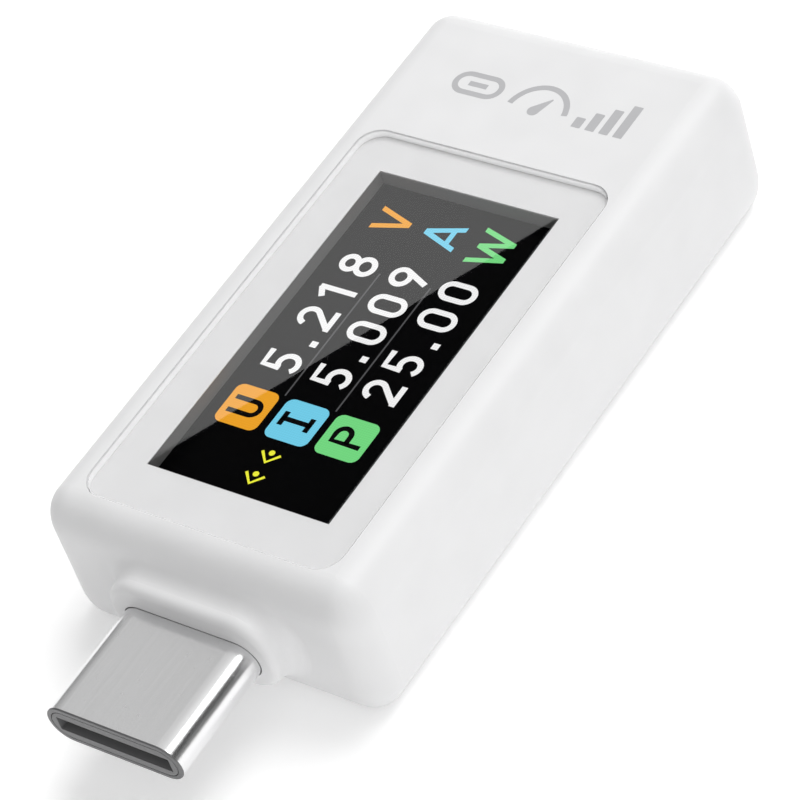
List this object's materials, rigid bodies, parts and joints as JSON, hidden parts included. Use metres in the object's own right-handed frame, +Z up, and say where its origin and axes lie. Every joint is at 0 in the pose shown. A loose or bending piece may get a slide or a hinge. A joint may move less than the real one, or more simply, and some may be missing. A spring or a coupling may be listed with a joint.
{
  "type": "usb power meter",
  "caption": "Small white in-line USB-C power meter: flush colour display on top, USB-C plug on a short neck at the front, USB-C socket in the rear end.",
  "frame": {"origin": "on the surface the meter rests on, below the middle of its overall length and width", "axes": "+Y from the plug's tip towards the socket, +X across, to the right when the plug points towards the viewer's feet and the display faces up, +Z up out of the display"},
  "size_m": [0.0196, 0.047, 0.0088],
  "materials": {
    "case_white": "moulded, soft gloss",
    "cover_white": "moulded, fine satin",
    "lens_clear": "clear acrylic, polished",
    "ink_white": "screen-printed ink",
    "tape_black": "acrylic foam tape",
    "foam_black": "fine closed foam",
    "polarizer_dark": "smooth film",
    "display_glass": "polished",
    "film_milky": "diffusing film",
    "guide_clear": "clear moulding with dots",
    "lamp_white": "phosphor and white resin",
    "tray_white": "moulded",
    "chip_bare": "polished silicon",
    "flex_amber": "film over copper tracks",
    "plug_steel": "fine satin, lengthwise grain",
    "insulator_dark": "moulded",
    "contact_gold": "thin gold plating",
    "spring_steel": "stamped",
    "socket_steel": "stamped, satin",
    "socket_black": "moulded",
    "board_green": "solder resist over glass fibre",
    "package_black": "moulded epoxy",
    "tinned": "tin plating",
    "shunt_metal": "rolled alloy strip",
    "capacitor_tan": "fired ceramic",
    "resistor_black": "glazed film"
  },
  "bodies": {
    "body": {"top_shell": "case_white", "bottom_cover": "cover_white", "cover_lens": "lens_clear", "lens_print": "ink_white", "lens_tape": "tape_black", "display_gasket": "foam_black", "display_front_polarizer": "polarizer_dark", "display_upper_glass": "display_glass", "display_lower_glass": "display_glass", "display_rear_polarizer": "polarizer_dark", "display_films": "film_milky", "display_light_guide": "guide_clear", "display_lamps": "lamp_white", "display_reflector": "film_milky", "display_tray": "tray_white", "display_driver_chip": "chip_bare", "display_flex": "flex_amber", "plug_shell": "plug_steel", "plug_insulator": "insulator_dark", "plug_rear_block": "insulator_dark", "plug_tails_upper": "contact_gold", "plug_tails_lower": "contact_gold", "plug_mid_plate": "spring_steel", "socket_shell": "socket_steel", "socket_insulator": "socket_black", "socket_mid_plate": "spring_steel", "socket_contacts_upper": "contact_gold", "socket_contacts_lower": "contact_gold", "main_board": "board_green", "microcontroller": "package_black", "sense_amplifier": "package_black", "sense_amplifier_leads": "tinned", "voltage_regulator": "package_black", "voltage_regulator_leads": "tinned", "current_shunt": "shunt_metal", "surge_diode": "package_black", "surge_diode_tabs": "tinned", "capacitors": "capacitor_tan", "resistors": "resistor_black", "id_resistors": "resistor_black"},
    "latch_right": {"plug_latch_right": "spring_steel"},
    "latch_left": {"plug_latch_left": "spring_steel"},
    "beams_upper": {"plug_beams_upper": "contact_gold"},
    "beams_lower": {"plug_beams_lower": "contact_gold"},
    "ground_spring_upper": {"shield_spring_upper": "spring_steel"},
    "ground_spring_lower": {"shield_spring_lower": "spring_steel"}
  },
  "joints": [
    {"name": "latch_right_flex", "type": "hinge", "parent": "body", "child": "latch_right", "pos_m": [0.00355, -0.0156, 0.00395], "axis": [0, 0, 1], "range_deg": [0, 1.5], "stiffness_Nm_per_rad": 0.6},
    {"name": "latch_left_flex", "type": "hinge", "parent": "body", "child": "latch_left", "pos_m": [-0.00355, -0.0156, 0.00395], "axis": [0, 0, -1], "range_deg": [0, 1.5], "stiffness_Nm_per_rad": 0.6},
    {"name": "beams_upper_flex", "type": "hinge", "parent": "body", "child": "beams_upper", "pos_m": [0, -0.0162, 0.00457], "axis": [-1, 0, 0], "range_deg": [0, 1.4], "stiffness_Nm_per_rad": 0.7},
    {"name": "beams_lower_flex", "type": "hinge", "parent": "body", "child": "beams_lower", "pos_m": [0, -0.0162, 0.00333], "axis": [1, 0, 0], "range_deg": [0, 1.4], "stiffness_Nm_per_rad": 0.7},
    {"name": "ground_spring_upper_flex", "type": "hinge", "parent": "body", "child": "ground_spring_upper", "pos_m": [0, -0.0227, 0.00482], "axis": [1, 0, 0], "range_deg": [0, 3.5], "stiffness_Nm_per_rad": 0.06},
    {"name": "ground_spring_lower_flex", "type": "hinge", "parent": "body", "child": "ground_spring_lower", "pos_m": [0, -0.0227, 0.00308], "axis": [-1, 0, 0], "range_deg": [0, 3.5], "stiffness_Nm_per_rad": 0.06}
  ]
}
